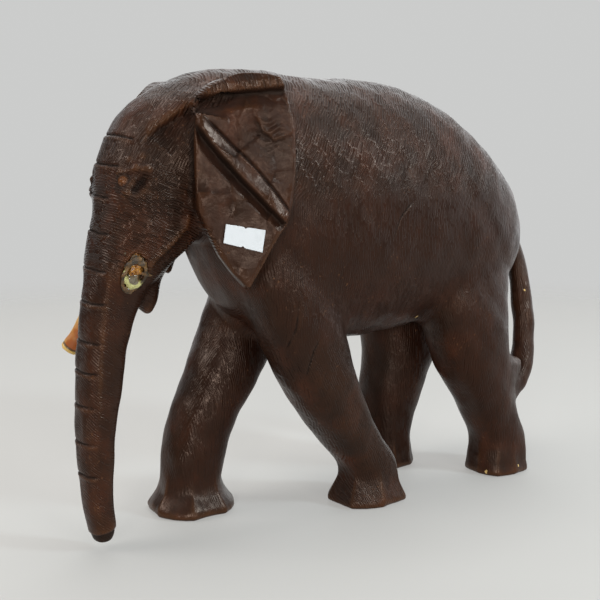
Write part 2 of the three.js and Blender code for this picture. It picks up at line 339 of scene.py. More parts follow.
block = {
    "coarseCell": 1.6,  # first skin, where the forms are smoothed
    "fineCell": 0.75,  # second skin, where the details are cut
    "mostFaces": 196000,
    "formReach": 6.0,  # how far the broad forms are blended
    "edgeReach": 1.5,  # how far the small forms are blended
    "skinReach": 0.9,  # how far the second skin is blended
    "wornReach": 2.2,  # what stands out within this reach is worn, what lies deeper is darkened as painted shade
    "boxMargin": 0.01,
    # regions begin or end softly between two places; forwards is -y
    "headFrom": (98, 106),  # forwards
    "faceFrom": (118, 124),  # forwards
    "headAbove": (130, 140),
    "crownAbove": (188, 205),
    "trunkBelow": (140, 160),
    "jawBelow": (165, 178),
    "forelegBelow": (90, 120),
    "backAbove": (178, 196),
    "tailBelow": (160, 170),
    "formsAbove": (14, 30),  # broad smoothing is full above the feet
    "hatchAbove": (8, 30),  # the feet are cut smoother
    "trunkGrooves": (217, 202, 186, 168, 149.5, 133, 113, 97.5, 80, 60.5, 43),  # heights
    # how far to the left a groove runs: height, reach
    "grooveEnds": (
        (43, 9.5), (100, 11.5), (150, 13.5), (178, 12), (186, 8.5), (203, 14), (217, 17.5),
    ),
    "grooveWidth": 0.5,
    "grooveDepth": 0.9,
    "grooveLean": 0.06,
    "grooveBow": 0.006,  # only above bowFrom
    "bowFrom": 210,
    "lipRise": 0.3,
    "lipBelow": 1.6,
    "trunkCorner": (
        (13, -147, 175), (14, -149, 150), (12.4, -152.5, 130), (11.6, -155, 105), (10, -157, 60),
    ),
    "cornerRise": 0.7,
    "cheekEdge": (
        (27, -110, 179), (24.9, -112.3, 170.7), (24, -120.1, 162.9), (23.1, -127.8, 156.2),
        (21.9, -131.8, 151),
    ),
    "cheekRise": 1.2,
    "cheekHollow": 1.4,
    "cheekHollowMove": (-1, 4, -5),  # from the cheek's edge to the hollow behind it
    # where the ear's rim runs on over the temple towards the brow
    "templeLine": (
        (30, -101, 237), (25.4, -107.3, 232.4), (25.1, -111.8, 229.3), (24.1, -118.8, 225.2),
        (22.4, -125.9, 220.3), (20.9, -130.8, 215.4), (20.6, -133.5, 210),
    ),
    "templeRoll": 1.8,
    "rollReach": 13,
    "templeHollow": 2.6,
    "hollowReach": 17,
    "farTemple": 0.2,  # share of the temple's forms that the far side has
    "farEye": 0.45,
    # lumps over the eye: x, y, z, radius, rise
    "browLumps": (
        (17.7, -139.3, 204.1, 2.6, 1.3), (20.3, -136.9, 201.0, 2.2, 1.5),
        (21.2, -134.5, 205.6, 3.0, 1.3), (14.5, -143.2, 199.5, 2.0, 1.1),
        (23.3, -132, 199.8, 2.6, 1.2),
    ),
    "eyelid": ((13.9, -144.3, 197), (18, -140, 198.6), (23.2, -133, 200)),
    "lidRise": 1.3,
    "lidWidth": 1.6,
    "lidHollow": (18, -140, 196.4, 2.5, 0.8),  # x, y, z, radius, depth
    "eyeball": (16.3, -142.3, 193.6, 2.9, 1.7),  # x, y, z, radius, rise
    "eyePit": ((20, -140.5, 188), (22.5, -138.5, 190.5), (23.2, -135.6, 194)),
    "pitWidth": 2.4,
    "pitDepth": 3.0,
    "earFront": ((31.5, -112.5, 230), (30.5, -112.2, 187)),  # groove in front of the ear
    "earFrontWidth": 1.3,
    "earFrontDepth": 1.2,
    # where the ear's rim, its front edge and the temple meet in a soft hollow: x, y, z and reach
    "rimFront": (33, -112.4, 230.5, 4),
    "rimFrontBlend": 2.5,
    "cracks": (
        (
            (53.7, 20.4, 181.1), (53.7, 15, 177.3), (53.7, 10.5, 171.9), (53.4, 7.9, 165.8),
            (53.1, 6, 160.3),
        ),
        (
            (45.9, -56.6, 130), (45.4, -56.3, 121.4), (44.6, -57, 113.7), (40.1, -59, 104.5),
            (30, -58, 95),
        ),
        ((47.6, -42.3, 108.2), (46.7, -45.7, 100.7), (44, -47.7, 91.6), (41.5, -47.9, 85.6)),
    ),
    "crackWidth": 0.42,
    "crackDepth": 1.0,
    "trunkTip": 9,  # about how high the slanting cut under the trunk is
    "tipSlant": 0.25,
    "tipDepth": 0.8,
    # x, y, radius, facets and turn of each foot
    "feet": (
        (25, 11.4, 21.4, 7, 0.2), (-25, -81.6, 23.5, 7, 0.5),
        (34, 118, 18.5, 9, 0.1), (-21, 67, 18.5, 8, 0.3),
    ),
    "footReach": 1.5,  # share of its radius that still belongs to a foot
    "footTop": 27,
    "facetSpread": 1.035,
    "facetTop": 13,  # the facets are full below this height
    "facetShare": 0.75,
    # painted shade on the far hind leg's inner side
    "farLegShade": 0.55,
    "waviness": 0.35,
    "waves": {"seed": 11, "short": 12, "long": 40, "count": 14},
    # wood left standing between the tail and the left hind leg: x, y, z and radius
    "tailWeb": (
        ((48, 104, 75, 4), (42, 118, 72, 5.5), (34, 135, 70, 4.5)),
        ((47, 106, 66, 5), (42, 116, 64, 6), (36, 131, 62, 5)),
        ((46, 110, 56, 4), (43, 115, 55, 5), (39, 124, 54, 4)),
    ),
}

# places on the ear are across and down from its front top corner; rises are out from its face
ear = {
    "corner": (33, -112.4, 245.4),
    "flare": 18,  # degrees
    "tilt": -3,
    "outline": (
        (0, 15), (-3.5, 10), (0, 2), (8, -0.5), (23, -1.5), (38, -2.5), (45, -1), (49, 6), (51, 16),
        (53, 27), (53, 45), (52, 57), (49, 71), (42, 80), (32, 97), (26, 107), (20, 99), (8, 78),
        (1, 68), (0, 56),
    ),
    "rimEdge": ((-6, 12), (6, 10), (18, 8.3), (31, 7), (41, 5.9), (47, 5.5), (52, 5.2)),
    "rimRise": 5,
    "rimRound": 1.6,  # how much the rim falls away at its top
    "farRimFrom": 8,  # the far ear's rim rises between these, behind the forehead
    "farRimTo": 26,
    "undercut": 9,  # height of the hollow under the rim
    "underDepth": 3.8,
    "underFade": 0.35,
    "foldEdge": ((1, 24), (13, 39), (26, 53), (37, 64), (46.5, 73.5)),
    "foldRise": 4.2,
    "foldWidth": 5.5,
    "foldSwell": 3.5,  # how much wider the fold is halfway
    "foldHollow": 2.3,
    "lineDepth": 1.5,
    "lineWidth": 0.6,
    "ledgeReach": 16,
    "wrinkles": (40, 27, 10, 9),  # middle and half sizes
    "wrinkleRise": 0.32,
    "facetRise": 1.2,
    "facetCount": 26,
    "facetTilt": 0.045,
    "facetStretch": 0.75,
    "facetField": (56, 108),  # how far across and down the knife cuts are spread
    "labelPlace": (26, 81),
    "labelRoom": (13, 10.5),  # half sizes of the flat place under the label
    "labelSink": 0.15,
    "backOfEar": -4,  # deeper than this under the face, it isn't the ear's front
}


# the same points on the left side
def onLeft(points):
    mirrored = points.copy()
    mirrored[:, 0] = np.abs(mirrored[:, 0])
    return mirrored


# 1 on the left, far on the right
def farShare(points, far):
    return np.where(points[:, 0] > 0, 1, far)


# the left ear's directions: back along it, up it, and out from its face
def earAxes():
    flare, tilt = math.radians(ear["flare"]), math.radians(ear["tilt"])
    back = Vector((math.sin(flare), math.cos(flare), 0))
    out = back.cross(Vector((math.sin(tilt), 0, math.cos(tilt)))).normalized()
    return back, out.cross(back), out


# how far across, down and out from the ear each point is, and the direction out
def earPlace(points):
    back, up, out = (np.array(axis) for axis in earAxes())
    local = onLeft(points) - np.array(ear["corner"])
    return local @ back, -(local @ up), local @ out, out


# how deep inside the ear's outline each point is
def earDepth(across, down):
    return insideOutline(across, down, ear["outline"])


# height of a line through path at each place, where path is (across, height) pairs
def lineAt(across, path):
    path = np.array(path, float)
    return np.interp(across, path[:, 0], path[:, 1])


# how far above the fold's lower edge, how far along it, and how wide the fold is there
def foldPlace(across, down):
    away, share = alongPath(np.stack([across, down], 1), ear["foldEdge"])
    above = np.where(lineAt(across, ear["foldEdge"]) > down, away, -away)
    return above, share, ear["foldWidth"] + ear["foldSwell"] * np.sin(np.pi * share)


# the overhanging rim, and the hollow cut under it
def earRim(across, belowRim):
    rim = ear["rimRise"] * (1 - smoothStep(belowRim, -0.9, 0.5))
    rim -= ear["rimRound"] * (1 - smoothStep(belowRim, -9, -4)) * (belowRim < 0)
    fade = 1 - ear["underFade"] * smoothStep(across, 15, 48)
    cut = smoothStep(belowRim, 0, 0.8) * (1 - smoothStep(belowRim, 1.5, ear["undercut"]))
    return rim - ear["underDepth"] * fade * cut


# the slanting fold, with a thin line over it and a hollow below
def earFold(across, down):
    above, share, width = foldPlace(across, down)
    slope = 1 - 0.6 * np.clip(above / width, 0, 1)
    fold = ear["foldRise"] * smoothStep(above, -0.9, 0.6) * slope * (above < width)
    line = bumpAt(above - width, ear["lineWidth"]) * smoothStep(share, 0.02, 0.1)
    ledge = (above >= width) * (1 - smoothStep(above, width, width + ear["ledgeReach"]))
    hollow = smoothStep(-above, 0.2, 1.0) * (1 - smoothStep(-above, 0.8, 7))
    forms = fold - ear["lineDepth"] * line + ledge - ear["foldHollow"] * hollow
    return forms * smoothStep(across, 0, 4)


# how far out the ear's face is at each place
def earFace(across, down):
    belowRim = down - lineAt(across, ear["rimEdge"])
    face = earRim(across, belowRim) + earFold(across, down) * (belowRim > 0)
    middleX, middleY, halfWide, halfHigh = ear["wrinkles"]
    wrinkled = bumpAt(np.hypot((across - middleX) / halfWide, (down - middleY) / halfHigh), 1.0)
    face += ear["wrinkleRise"] * wrinkled * np.sin(down * 1.25 + 1.9 * np.sin(across * 0.45))
    face += knifeCuts(across, down) * (belowRim > 0)
    labelX, labelY = ear["labelPlace"]
    roomX, roomY = ear["labelRoom"]
    labelAway = np.hypot((across - labelX) / roomX, (down - labelY) / roomY)
    flat = 1 - smoothStep(labelAway, 1.05, 1.5)
    return face * (1 - flat) - ear["labelSink"] * flat


# broad flat cuts left by a knife: each place has the tilt of the cut nearest to it
def knifeCuts(across, down):
    draw = np.random.default_rng(4)
    middles = draw.uniform(0, 1, (ear["facetCount"], 2)) * ear["facetField"]
    tilts = draw.normal(0, ear["facetTilt"], (ear["facetCount"], 2))
    nearest = np.full(len(across), 1e9)
    height = np.zeros(len(across))
    for (cutX, cutY), (tiltX, tiltY) in zip(middles, tilts):
        away = (across - cutX) ** 2 + ((down - cutY) * ear["facetStretch"]) ** 2
        closer = away < nearest
        nearest[closer] = away[closer]
        height[closer] = (tiltX * (across - cutX) + tiltY * (down - cutY))[closer]
    return height * ear["facetRise"]


def nearEar(points, margin):
    across, down, out, _ = earPlace(points)
    near = smoothStep(earDepth(across, down), -margin * 2, -margin * 0.5)
    return near * smoothStep(out, -16, -11) * (1 - smoothStep(out, 9, 14))


# 1 where the broad smoothing may act, less on the small forms
def broadForms(points):
    y, z = points[:, 1], points[:, 2]
    smallForms = 0.85
    face = smoothStep(-y, *block["faceFrom"]) * (1 - smoothStep(z, *block["jawBelow"]))
    tail = (y > 140) * (z > 40) * (1 - smoothStep(z, *block["tailBelow"]))
    broad = (1 - nearEar(points, 4)) * (1 - face * smallForms) * (1 - tail * smallForms)
    return broad * (0.25 + 0.75 * smoothStep(z, *block["formsAbove"]))


def smoothForms(mesh):
    net = Net(mesh, block["coarseCell"])
    points = readPoints(mesh)
    broad = broadForms(points)[:, None]
    results = []
    for reach in (block["edgeReach"], block["formReach"]):
        blurred = net.blur(points, reach)
        lost = points - blurred
        kept = blurred + net.blur(lost, reach)  # without the shrinking that a blur brings
        hollow = smoothStep(-(lost * readNormals(mesh)).sum(1), 0.2, 1.2)[:, None]
        results.append(kept * (1 - hollow) + blurred * hollow)
    writePoints(mesh, results[0] * (1 - broad) + results[1] * broad)


def shapeEars(points):
    across, down, out, outwards = earPlace(points)
    depth = earDepth(across, down)
    wanted = earFace(across, down)
    farRim = wanted * smoothStep(across, ear["farRimFrom"], ear["farRimTo"])
    wanted = np.where((points[:, 0] < 0) & (wanted > 0), farRim, wanted)
    raised = smoothStep(depth, 0.2, 1.6) * (out > ear["backOfEar"])
    lowered = smoothStep(depth, -3.0, -1.6) * (out > -2.5)
    move = (wanted - out) * np.where(wanted > out, raised, lowered)
    shift = move[:, None] * outwards
    shift[:, 0] *= np.sign(points[:, 0])
    return points + shift


def facetFeet(points):
    for footX, footY, radius, sides, turn in block["feet"]:
        dx, dy = points[:, 0] - footX, points[:, 1] - footY
        inFoot = (np.hypot(dx, dy) < radius * block["footReach"]) & (points[:, 2] < block["footTop"])
        sector = 2 * math.pi / sides
        fromMiddle = ((np.arctan2(dy, dx) + turn) % sector) - sector / 2
        flat = math.cos(sector / 2) / np.cos(fromMiddle) * block["facetSpread"]
        low = 1 - smoothStep(points[:, 2], block["facetTop"], block["footTop"])
        factor = np.where(inFoot, 1 + (flat - 1) * low * block["facetShare"], 1)
        points[:, 0] = footX + dx * factor
        points[:, 1] = footY + dy * factor
    return points


# Each of the next functions gives how far points are pushed out along their normals, and how much
# painted shade they get there.

def trunkCuts(points, normals):
    x, y, z = points.T
    push, paintedShade = np.zeros(len(points)), np.zeros(len(points))
    front = smoothStep(-normals[:, 1], 0.1, 0.4) * (-y > block["faceFrom"][0])
    reach = np.interp(z, *np.array(block["grooveEnds"]).T)
    front *= 1 - smoothStep(x, reach - 1.5, reach + 0.5)
    for height in block["trunkGrooves"]:
        bow = block["grooveBow"] * x**2 if height > block["bowFrom"] else 0
        away = z + block["grooveLean"] * x + bow - height
        groove = bumpAt(away, block["grooveWidth"]) * front
        push -= block["grooveDepth"] * groove
        push += block["lipRise"] * bumpAt(away + block["lipBelow"], 1.0) * front
        # painted shade in each groove
        paintedShade = np.maximum(paintedShade, smoothStep(groove, 0.35, 0.9))
    # the trunk ends in a slanting cut, darkened underneath as painted shade
    underSlant = z - (y + 160) * block["tipSlant"]
    tip = (y < -140) * (1 - smoothStep(underSlant, block["trunkTip"] - 0.5, block["trunkTip"] + 1))
    return push - block["tipDepth"] * tip, np.maximum(paintedShade, tip * 0.85)


# the trunk's corner and the cheek's edge, with a hollow behind it
def cheekForms(points):
    left = onLeft(points)
    away, share = alongPath(left, block["trunkCorner"])
    push = block["cornerRise"] * bumpAt(away, 2.2) * np.sin(np.pi * share)
    away, share = alongPath(left, block["cheekEdge"])
    push += block["cheekRise"] * bumpAt(away, 2.2) * smoothStep(share, 0, 0.15)
    away, share = alongPath(left - block["cheekHollowMove"], block["cheekEdge"])
    push -= block["cheekHollow"] * bumpAt(away, 3.5) * np.sin(np.pi * share)
    return push, 0


# a roll over the temple, and the hollow below it
def templeForms(points):
    away, share = alongPath(onLeft(points), block["templeLine"])
    line = np.array(block["templeLine"])
    isOver = points[:, 2] > np.interp(-points[:, 1], -line[:, 1], line[:, 2])
    over = np.where(isOver, away, -away)
    ends = (1 - smoothStep(share, 0.7, 1.0)) * farShare(points, block["farTemple"])
    roll = smoothStep(over, -1.0, 1.2) * (1 - smoothStep(over, 2, block["rollReach"]))
    hollow = (1 - smoothStep(over, -1.2, 0.4)) * (1 - smoothStep(-over, 2, block["hollowReach"]))
    return (block["templeRoll"] * roll - block["templeHollow"] * hollow) * ends, 0


def eyeForms(points):
    left = onLeft(points)
    near = farShare(points, block["farEye"])

    def awayFrom(spot):
        return np.linalg.norm(left - np.array(spot), axis=1)

    push = np.zeros(len(points))
    for *middle, radius, rise in block["browLumps"]:
        push += rise * bumpAt(awayFrom(middle), radius) * near
    away, _ = alongPath(left, block["eyelid"])
    push += block["lidRise"] * bumpAt(away, block["lidWidth"]) * near
    *middle, radius, depth = block["lidHollow"]
    push -= depth * bumpAt(awayFrom(middle), radius)
    *middle, radius, rise = block["eyeball"]
    ballAway = awayFrom(middle)
    push += rise * (1 - smoothStep(ballAway, radius * 0.2, radius * 1.2))
    away, _ = alongPath(left, block["eyePit"])
    pit = bumpAt(away, block["pitWidth"])
    push -= block["pitDepth"] * pit * near
    roundBall = bumpAt(ballAway - radius * 1.25, 0.5)
    # painted shade in the pit beside the eye and in a ring round the eyeball
    return push, np.maximum(pit * 0.8, roundBall * 0.7)


# painted shade in the ear's creases and under its rim, and the groove in front of the ear, cut and
# shaded
def earCreases(points):
    across, down, out, _ = earPlace(points)
    onEar = (earDepth(across, down) > 0) & (out > ear["backOfEar"])
    above, foldShare, width = foldPlace(across, down)
    line = 0.75 * bumpAt(above - width, 0.55) * smoothStep(foldShare, 0.02, 0.1)
    creases = line + 0.8 * bumpAt(above + 0.5, 0.9)
    belowRim = down - lineAt(across, ear["rimEdge"])
    underRim = 0.85 * bumpAt(belowRim - 1.2, 1.5) * (1 - 0.4 * smoothStep(across, 25, 48))
    # painted shadow under the rim and along the fold
    paintedShade = np.maximum(creases, underRim) * onEar
    away, share = alongPath(onLeft(points), block["earFront"])
    groove = bumpAt(away, block["earFrontWidth"]) * smoothStep(share, 0, 0.15)
    return -block["earFrontDepth"] * groove, np.maximum(paintedShade, groove * 0.6)


def dryingCracks(points):
    push, paintedShade = np.zeros(len(points)), np.zeros(len(points))
    for path in block["cracks"]:
        away, share = alongPath(points, path)
        taper = np.sin(np.pi * np.clip(share, 0.02, 0.98)) ** 0.5
        crack = bumpAt(away, block["crackWidth"]) * taper
        push -= block["crackDepth"] * crack
        # painted shade in the cracks
        paintedShade = np.maximum(paintedShade, smoothStep(crack, 0.3, 0.8))
    return push, paintedShade


# darker at the soles, and painted shade on the inner side of the far hind leg; a hand-cut surface is
# never even
def handWork(points, normals):
    x, y, z = points.T
    soles = 0.6 * (1 - smoothStep(z, 0.4, 2.2))
    farLeg = smoothStep(-x, 4, 12) * smoothStep(y, 30, 50) * (1 - smoothStep(z, 105, 125))
    # painted shade: the far hind leg's inner side is darkened
    innerSide = block["farLegShade"] * farLeg * smoothStep(normals[:, 0], -0.3, 0.3)
    calm = 1 - 0.8 * nearEar(points, 1)
    waves = lumps(points, **block["waves"])
    return block["waviness"] * calm * waves, np.maximum(soles, innerSide)


def cutDetails(points, normals):
    push, paintedShade = np.zeros(len(points)), np.zeros(len(points))
    layers = [trunkCuts(points, normals), handWork(points, normals)]
    layers += [form(points) for form in (cheekForms, templeForms, eyeForms, earCreases, dryingCracks)]
    for pushed, darkened in layers:
        push += pushed
        paintedShade = np.maximum(paintedShade, darkened)
    return push * smoothStep(points[:, 2], 0.2, 3), paintedShade  # the soles stay flat


# blends the meeting of rim, ear edge and temple
def softenRimFront(points, net):
    *middle, reach = block["rimFront"]
    softened = bumpAt(np.linalg.norm(onLeft(points) - middle, axis=1), reach)[:, None]
    return points * (1 - softened) + net.blur(points, block["rimFrontBlend"]) * softened


# where each kind of surface is, as marks that the wood's material reads
def markRegions(mesh, net):
    points, normals = readPoints(mesh), readNormals(mesh)
    x, y, z = points.T
    across, down, out, _ = earPlace(points)
    onEar = smoothStep(earDepth(across, down), -0.5, 0.5) * (out > ear["backOfEar"])
    belowRim = down - lineAt(across, ear["rimEdge"])
    rim = smoothStep(-belowRim, 0, 0.6) * smoothStep(across, -9, -5)
    rim = rim * smoothStep(out, -9, -7) * (out < 9) * smoothStep(down, -9, -4) * (across < 52)
    head = smoothStep(-y, *block["headFrom"]) * (1 - onEar) * smoothStep(z, *block["headAbove"])
    trunk = smoothStep(-y, *block["faceFrom"]) * (1 - smoothStep(z, *block["trunkBelow"]))
    leftFore = (x > 0) * (y < 45) * (y > -70) * (1 - smoothStep(z, *block["forelegBelow"]))
    leftFore = leftFore * (1 - trunk)
    toFront = smoothStep(-normals[:, 1], 0.62, 0.85) * (1 - leftFore)
    other = np.clip((1 - onEar) * (1 - rim) * (1 - np.maximum(head, trunk)) * (1 - leftFore), 0, 1)
    other *= 0.35 + 0.65 * smoothStep(z, *block["hatchAbove"])
    high = smoothStep(z, *block["backAbove"])
    face = 1 - smoothStep(z, *block["crownAbove"])
    marks = {
        "onRim": rim * (1 - trunk),
        "onEar": onEar * (1 - rim),
        "onCrown": head * (1 - face) * (1 - rim),
        "onCheek": head * face * (1 - rim) * (1 - trunk),
        "onTrunk": trunk,
        "onForeleg": leftFore * (1 - onEar) * (1 - rim),
        "onBack": other * high,
        "onFlank": other * (1 - high) * (1 - toFront),
        "onFront": other * (1 - high) * toFront,
    }
    for name, values in marks.items():
        writeMark(mesh, name, values)
    *middle, radius, _ = block["eyeball"]
    ballAway = np.linalg.norm(onLeft(points) - middle, axis=1)
    writeMark(mesh, "eyeball", (1 - smoothStep(ballAway, radius * 0.7, radius * 1.2)) * (x > 0))
    stands = ((points - net.blur(points, block["wornReach"])) * normals).sum(1)
    writeMark(mesh, "worn", smoothStep(stands, 0.1, 0.55))
    # painted shade: what lies deeper is marked to be darkened
    writeMark(mesh, "sunken", smoothStep(-stands, 0.1, 0.7))


def carvedMesh():
    whole = joinedMesh("carved_body", block["tailWeb"])
    rough = voxelMesh(whole, block["coarseCell"], "roughBlock")
    print("first skin:", len(rough.vertices), "points")
    smoothForms(rough)
    fine = voxelMesh(rough, block["fineCell"], "fineBlock")
    print("second skin:", len(fine.vertices), "points")
    net = Net(fine, block["fineCell"])
    points = net.blur(readPoints(fine), block["skinReach"])
    points = facetFeet(shapeEars(points))
    writePoints(fine, points)
    push, paintedShade = cutDetails(points, readNormals(fine))
    points = points + push[:, None] * readNormals(fine)
    writePoints(fine, softenRimFront(points, net))
    # painted shade in grooves, cracks, creases and on the far hind leg, kept as a mark
    writeMark(fine, "paintedShade", paintedShade)
    markRegions(fine, net)
    return fine


def thinned(mesh, mostFaces):
    triangles = sum(len(p.vertices) - 2 for p in mesh.polygons)
    if triangles <= mostFaces:
        return mesh
    holder = bpy.data.objects.new("thinning", mesh)
    scene.collection.objects.link(holder)
    thin = holder.modifiers.new("thin", "DECIMATE")
    thin.ratio = mostFaces / triangles
    shown = holder.evaluated_get(bpy.context.evaluated_depsgraph_get())
    made = bpy.data.meshes.new_from_object(shown)
    bpy.data.objects.remove(holder)
    print("thinned from", triangles, "to", len(made.polygons), "faces")
    return made


# keeps every point just inside the real piece's size
def keepInside(mesh):
    low, high = (np.array(corner) / mm for corner in cadBox)
    margin = block["boxMargin"]
    points = np.clip(readPoints(mesh), low + [margin, margin, 0], high - margin)
    writePoints(mesh, points)


# dark waxed wood

wood = {
    "dark": (0.0105, 0.0048, 0.0030),
    "brown": (0.023, 0.0088, 0.0044),
    "red": (0.054, 0.0155, 0.0065),
    "deepRed": (0.016, 0.0042, 0.0018),  # on the flanks
    "paintedSheen": (0.090, 0.072, 0.064),  # painted sheen: greyish, on what faces up
    # black is the painted shade of hollows, creases and cracks
    "black": (0.004, 0.0025, 0.002),
    "eyeGlow": (0.20, 0.065, 0.015),
    "bare": (0.20, 0.085, 0.035),
    "chip": (0.62, 0.42, 0.16),
    # pale chips: x, y, z, radius
    "chips": (
        (41.9, 99, 2.9, 1.6), (51.1, 119.4, 5.6, 1.1), (23.3, 153.2, 115.2, 0.9),
        (30.1, 46.3, 108.4, 1.6),
    ),
    # how strongly each colour covers what is under it
    "amount": {
        "darkPatches": 0.75, "flankRed": 0.6, "trunkRed": 0.3, "grain": 0.35, "earRed": 0.55,
        "paintedSheen": 0.22, "worn": 0.16, "lessOnEar": 0.08, "scuffs": 0.3, "eye": 0.85, "cuts": 0.32,
        "sunken": 0.55, "paintedShade": 0.9,
    },
    # rise or depth in millimetres
    "relief": {
        "cuts": 0.38, "grain": 0.07, "uneven": 0.35, "streaks": 0.06, "scuffs": 0.05, "chips": 0.3,
        "ear": 0.24,
    },
    # roughness of clean waxed wood, and what adds to it or takes from it
    "roughness": {
        "clean": 0.29, "cheek": 0.05, "cuts": 0.18, "grain": 0.12, "paintedShade": 0.3, "worn": 0.08,
        "sunken": 0.1, "patches": 0.35, "earMottle": 0.12,
    },
    # region: across the strokes, along the strokes, spacing, stroke length, strength
    "hatch": {
        "onBack": ((0.15, 0.85, -0.5), (0, 0.5, 0.86), 1.5, 8, 1.5),
        "onFlank": ((0.1, 0.99, 0.06), (0, -0.06, 1), 1.2, 11, 0.7),
        "onFront": ((0.97, 0.05, 0.2), (-0.2, 0, 0.97), 1.2, 8, 0.45),  # chest and fronts of legs
        "onForeleg": ((0.3, 0.86, 0.42), (0.2, -0.4, 0.9), 1.25, 9, 0.7),
        "onCheek": ((0.1, 0.38, 0.92), (0.4, 0.85, -0.35), 1.3, 8, 1.9),
        "onCrown": ((0.6, 0.62, -0.5), (0.1, 0.6, 0.78), 1.35, 7, 1.2),
        "onTrunk": ((0.35, 0.55, 0.76), (0.5, 0.6, -0.6), 1.2, 7, 0.6),
        "onRim": ((0.28, 0.93, 0.2), (0.5, 0, 0.86), 1.45, 7, 1.4),
    },
}


# rows of short gouge strokes, 1 in the middle of a stroke
def gougeStrokes(place, wobble, across, along, spacing, length):
    lane = place.dot(across) * (1 / spacing) + wobble
    number = lane.floor()
    aside = abs(lane - number - 0.5) * 2
    run = place.dot(along) * (1 / length) + number.chance() * 9
    stroke = run.floor()
    toEnd = abs(run - stroke - 0.5) * 2
    depth = number.chance(stroke) * 0.85 + 0.15
    return (1 - aside.step(0.15, 0.95)) * (1 - toEnd.step(0.62, 1.0)) * depth


# the strokes of every region together
def hatching(place):
    axes = [place.node("ShaderNodeSeparateXYZ", {}, {0: place}, name) for name in "XYZ"]
    leftSide = place.node("ShaderNodeCombineXYZ", {}, {0: abs(axes[0]), 1: axes[1], 2: axes[2]})
    wobble = place.noise(16, 1.0) * 3.2 + place.noise(3.5, 1.0) * 0.5
    cuts = None
    for region, (across, along, spacing, length, strength) in wood["hatch"].items():
        strokes = gougeStrokes(leftSide, wobble, across, along, spacing, length)
        strokes = strokes * place.mark(region) * strength
        cuts = strokes if cuts is None else cuts + strokes
    return cuts


# small pale places where the wood is chipped
def chipSpots(place):
    chips = None
    for *middle, radius in wood["chips"]:
        away = (place - tuple(middle)).length() + place.noise(1.1, 1.0) * radius
        spot = 1 - away.step(radius * 1.1, radius * 1.4)
        chips = spot if chips is None else chips.most(spot)
    return chips


def darkWood(place):
    amount, relief, rough = wood["amount"], wood["relief"], wood["roughness"]
    cuts = hatching(place)
    chips = chipSpots(place)
    worn, sunken, paintedShade, onEar = (place.mark(m) for m in ("worn", "sunken", "paintedShade", "onEar"))
    streaks = (place * (1.0, 1.0, 0.22)).noise(7, 3.0, 0.6)
    patches = place.noise(34, 3.0, 0.55)
    grain = place.noise(1.6, 3.0, 0.65)

    # the wood itself: brown with red and dark patches
    redness = (patches + streaks * 0.5).step(0.62, 1.02)
    darkness = place.noise(22, 2.0, 0.6).step(0.38, 0.7)
    colour = redness.blend(wood["brown"], wood["red"])
    colour = (darkness * amount["darkPatches"]).blend(colour, wood["dark"])
    deepRed = place.mark("onFlank") * amount["flankRed"] + place.mark("onTrunk") * amount["trunkRed"]
    colour = deepRed.blend(colour, wood["deepRed"])
    colour = (grain.step(0.35, 0.75) * amount["grain"]).blend(colour, wood["dark"])
    earMottle = onEar * place.noise(9, 3.0, 0.65).step(0.42, 0.62)
    colour = (earMottle * amount["earRed"]).blend(colour, wood["deepRed"])

    # over it the painted sheen of the wax on what faces up, the wear, the eye, the dark in every cut,
    # and painted shade in hollows and creases
    normal = place.node("ShaderNodeNewGeometry", {}, {}, "Normal")
    facesUp = normal.dot((0, 0, 1)).step(-0.1, 1.0)
    paintedSheen = facesUp * (place.noise(18, 3.0, 0.6).step(0.3, 0.7) * 0.7 + 0.3)
    # painted sheen: what faces up is lighter and greyer
    colour = (paintedSheen * amount["paintedSheen"]).blend(colour, wood["paintedSheen"])
    scuffs = place.noise(1.7, 2.0, 0.6).step(0.64, 0.72) * place.noise(17, 1.0).step(0.5, 0.62)
    bare = worn * (amount["worn"] - onEar * amount["lessOnEar"]) + scuffs * amount["scuffs"]
    colour = bare.blend(colour, wood["bare"])
    colour = (place.mark("eyeball") * amount["eye"]).blend(colour, wood["eyeGlow"])
    colour = (cuts * amount["cuts"]).blend(colour, wood["dark"])
    # painted shade: hollows, creases, cracks and grooves go towards black
    colour = (sunken * amount["sunken"]).blend(colour, wood["black"])
    colour = (paintedShade * amount["paintedShade"]).blend(colour, wood["black"])
    colour = chips.blend(colour, wood["chip"])

    height = cuts * -relief["cuts"] + grain * relief["grain"]
    height = height + place.noise(6, 2.0) * relief["uneven"] + streaks * relief["streaks"]
    height = height - scuffs * relief["scuffs"] - chips * relief["chips"]
    height = height + onEar * place.noise(4.5, 2.0, 0.7) * relief["ear"]
    roughness = rough["clean"] - place.mark("onCheek") * rough["cheek"] + cuts * rough["cuts"]
    roughness = roughness + grain * rough["grain"] + paintedShade * rough["paintedShade"] - worn * rough["worn"]
    roughness = roughness + sunken * rough["sunken"] + (patches - 0.5) * rough["patches"]
    roughness = roughness + earMottle * rough["earMottle"]
    return {"Base Color": colour, "Roughness": roughness, "Height": height}


carved = thinned(carvedMesh(), block["mostFaces"])
keepInside(carved)
woodFinish = {"Specular IOR Level": 0.23, "Specular Tint": (1, 0.74, 0.6, 1)}
woodMaterial = makeMaterial("waxedDarkWood", woodFinish, darkWood)
addPiece("carvedBlock", carved, woodMaterial, ["carved_body"])
print("carved block made:", len(carved.vertices), "points")


# right tusk: a pale peg with its end cut off

tusk = {
    "cell": 0.6,
    "blur": 0.5,
    "root": (-19.4, -139.4, 147.5),
    "axis": (-0.326, -0.234, -0.916),
    "aside": (0.6, 0.79, 0),
    "bow": 3.7,  # how far its middle stands aside
    "length": 49.1,
    "endSlant": 0.3,
    "slantFrom": 36,
    "slantTo": 49,
    "ringBack": 1.5,  # from the end to the dark line round it
    "unevenness": 0.14,
    "tan": (0.58, 0.34, 0.11),
    "orange": (0.34, 0.085, 0.012),
    "rim": (0.66, 0.42, 0.12),
    "line": (0.05, 0.025, 0.01),
}


